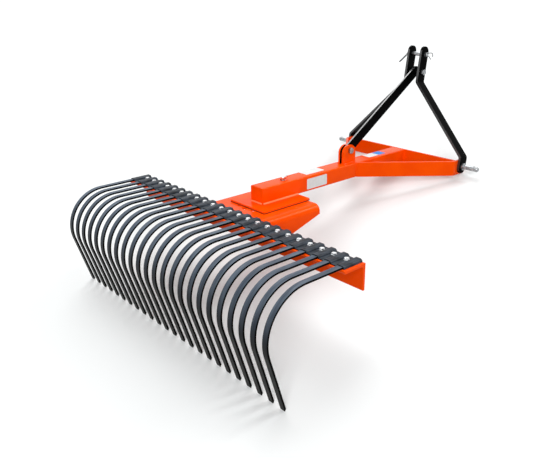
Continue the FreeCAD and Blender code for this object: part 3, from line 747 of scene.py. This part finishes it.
# %% Lay the floor
FLOOR_HALF, GLOW_SHARE = 40, 0.10
THROWN_BACK, AS_SEEN, WHITE = (0.35, 0.35, 0.35, 1), (0.87, 0.89, 0.89, 1), (1, 1, 1, 1)


def seen_directly(tree):
    rays = tree.nodes.new("ShaderNodeLightPath")
    total = rays.outputs["Is Camera Ray"]
    for kind in ("Is Glossy Ray", "Is Transmission Ray"):
        add = tree.nodes.new("ShaderNodeMath")
        add.operation = "MAXIMUM"
        tree.links.new(total, add.inputs[0])
        tree.links.new(rays.outputs[kind], add.inputs[1])
        total = add.outputs[0]
    return total


def make_floor():
    finish = bpy.data.materials.new("white_studio_floor")
    finish.use_nodes = True
    tree = finish.node_tree
    tree.nodes.clear()
    matt = tree.nodes.new("ShaderNodeBsdfDiffuse")
    shade = tree.nodes.new("ShaderNodeMix")
    shade.data_type = "RGBA"
    shade.inputs["A"].default_value = THROWN_BACK
    shade.inputs["B"].default_value = AS_SEEN
    seen = seen_directly(tree)
    tree.links.new(seen, shade.inputs["Factor"])
    tree.links.new(shade.outputs["Result"], matt.inputs["Color"])
    glow = tree.nodes.new("ShaderNodeEmission")
    glow.inputs["Color"].default_value = WHITE
    share = tree.nodes.new("ShaderNodeMath")
    share.operation = "MULTIPLY"
    share.inputs[1].default_value = GLOW_SHARE
    both = tree.nodes.new("ShaderNodeMixShader")
    out = tree.nodes.new("ShaderNodeOutputMaterial")
    tree.links.new(seen, share.inputs[0])
    tree.links.new(share.outputs[0], both.inputs["Fac"])
    tree.links.new(matt.outputs[0], both.inputs[1])
    tree.links.new(glow.outputs[0], both.inputs[2])
    tree.links.new(both.outputs[0], out.inputs["Surface"])
    return finish


floor_shape = bmesh.new()
bmesh.ops.create_grid(floor_shape, x_segments=1, y_segments=1, size=FLOOR_HALF)
floor_mesh = bpy.data.meshes.new("floor")
floor_shape.to_mesh(floor_mesh)
floor_shape.free()
floor_mesh.materials.append(make_floor())
floor = bpy.data.objects.new("floor", floor_mesh)
bpy.context.scene.collection.objects.link(floor)
print("the floor is", 2 * FLOOR_HALF, "m square")

# %% [markdown]
# ## Light
# A studio's white walls and lamps light the machine at about the level at which a colour
# renders as written. The world is white where it is seen and much weaker as a light, and
# three suns do the rest: two broad ones, from above and from behind the camera, and a
# narrower one that picks out the front edges. Area lamps would fall off along a machine
# this long; suns light it evenly.

# %% Light the world and hang the suns
def make_world(light_level):
    world = bpy.data.worlds.new("studio")
    world.use_nodes = True
    tree = world.node_tree
    tree.nodes.clear()
    seen = tree.nodes.new("ShaderNodeBackground")
    lights = tree.nodes.new("ShaderNodeBackground")
    seen.inputs["Color"].default_value = WHITE
    lights.inputs["Color"].default_value = WHITE
    lights.inputs["Strength"].default_value = light_level
    choose = tree.nodes.new("ShaderNodeMixShader")
    out = tree.nodes.new("ShaderNodeOutputWorld")
    tree.links.new(seen_directly(tree), choose.inputs["Fac"])
    tree.links.new(lights.outputs[0], choose.inputs[1])
    tree.links.new(seen.outputs[0], choose.inputs[2])
    tree.links.new(choose.outputs[0], out.inputs["Surface"])
    bpy.context.scene.world = world


def hang_sun(name, power, spread, toward):
    lamp = bpy.data.lights.new(name, "SUN")
    lamp.energy = power
    lamp.angle = math.radians(spread)
    sun = bpy.data.objects.new(name, lamp)
    sun.rotation_euler = Vector(toward).to_track_quat("-Z", "Y").to_euler()
    bpy.context.scene.collection.objects.link(sun)


make_world(light_level=0.28)
hang_sun("overhead", power=1.8, spread=42, toward=(0.42, -0.44, -0.79))
hang_sun("rear_fill", power=2.0, spread=36, toward=turned @ Vector((-0.60, 0.66, -0.42)))
hang_sun("front_rim", power=1.1, spread=19, toward=turned @ Vector((-0.36, -0.61, -0.69)))
print("one world and", len(bpy.data.lights), "suns")

# %% [markdown]
# ## Camera
# The camera stands off the right rear corner, a little above the machine, and was placed
# in the level frame like every piece. A constraint could aim it, but would keep it
# upright. Its matrix is built from where it looks and a slight roll, and is then turned
# with the machine.

# %% Set the camera
AROUND, DOWN, ROLL = math.radians(48.710), math.radians(21.514), math.radians(-0.670)
STAND = Vector((1846.7, -1393.5, 844.8))
look = Vector((-math.sin(AROUND) * math.cos(DOWN), math.cos(AROUND) * math.cos(DOWN),
               -math.sin(DOWN)))
flat_right = Vector((math.cos(AROUND), math.sin(AROUND), 0))
flat_up = flat_right.cross(look)
frame_right = flat_right * math.cos(ROLL) + flat_up * math.sin(ROLL)
frame_up = flat_up * math.cos(ROLL) - flat_right * math.sin(ROLL)
lens = bpy.data.cameras.new("camera")
lens.sensor_width = 36.0
lens.lens = 41.73
lens.shift_x = -0.0005
lens.shift_y = 0.0004
lens.clip_end = 200
camera = bpy.data.objects.new("camera", lens)
facing = Matrix((frame_right, frame_up, -look)).transposed().to_4x4()
camera.matrix_world = Matrix.Translation(LEVEL @ STAND) @ turned @ facing
bpy.context.scene.collection.objects.link(camera)
bpy.context.scene.camera = camera
bpy.context.scene.view_settings.view_transform = "Standard"
print("the camera stands %.2f m above the floor" % camera.matrix_world.translation.z)
